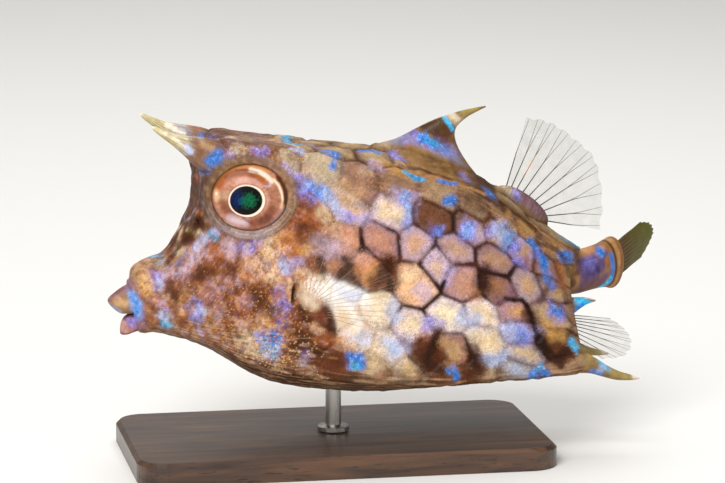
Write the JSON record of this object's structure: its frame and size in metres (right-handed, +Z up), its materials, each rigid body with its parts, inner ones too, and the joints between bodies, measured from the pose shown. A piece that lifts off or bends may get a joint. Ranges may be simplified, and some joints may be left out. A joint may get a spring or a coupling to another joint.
{
  "type": "thornback cowfish model on a display stand",
  "caption": "Life-size still model of a thornback cowfish with hexagonal plates, horns over the eyes, a back thorn, rear spines and fanned fins, on a rod and flat base.",
  "frame": {"origin": "on the surface it stands on, under the middle of the part's box", "axes": "+X from the snout to the tail, +Y towards the fish's right flank, +Z up"},
  "size_m": [0.1169, 0.046, 0.0698],
  "materials": {
    "skin": "painted resin with a wet satin coat",
    "plates": "painted resin with raised plates and a wet satin coat",
    "lips": "painted resin, satin",
    "horns": "painted resin, satin",
    "eyes": "clear gloss over paint",
    "fin_rays": "clear film with rays",
    "tail_rays": "painted resin, satin",
    "stand_wood": "dark stain, satin lacquer",
    "stand_steel": "satin"
  },
  "bodies": {
    "root": {"head": "skin", "upper_lip": "lips", "lower_lip": "lips", "carapace": "plates", "eye_left": "eyes", "eye_right": "eyes", "horn_left": "horns", "horn_right": "horns", "dorsal_thorn": "horns", "rear_spine_left": "horns", "rear_spine_right": "horns", "pectoral_fin_left": "fin_rays", "pectoral_fin_right": "fin_rays", "pectoral_base_left": "skin", "pectoral_base_right": "skin", "dorsal_fin_base": "skin", "dorsal_fin": "fin_rays", "anal_fin_base": "skin", "anal_fin": "fin_rays", "tail_stalk": "skin", "tail_fin": "tail_rays", "stand_base": "stand_wood", "stand_rod": "stand_steel"}
  },
  "joints": []
}
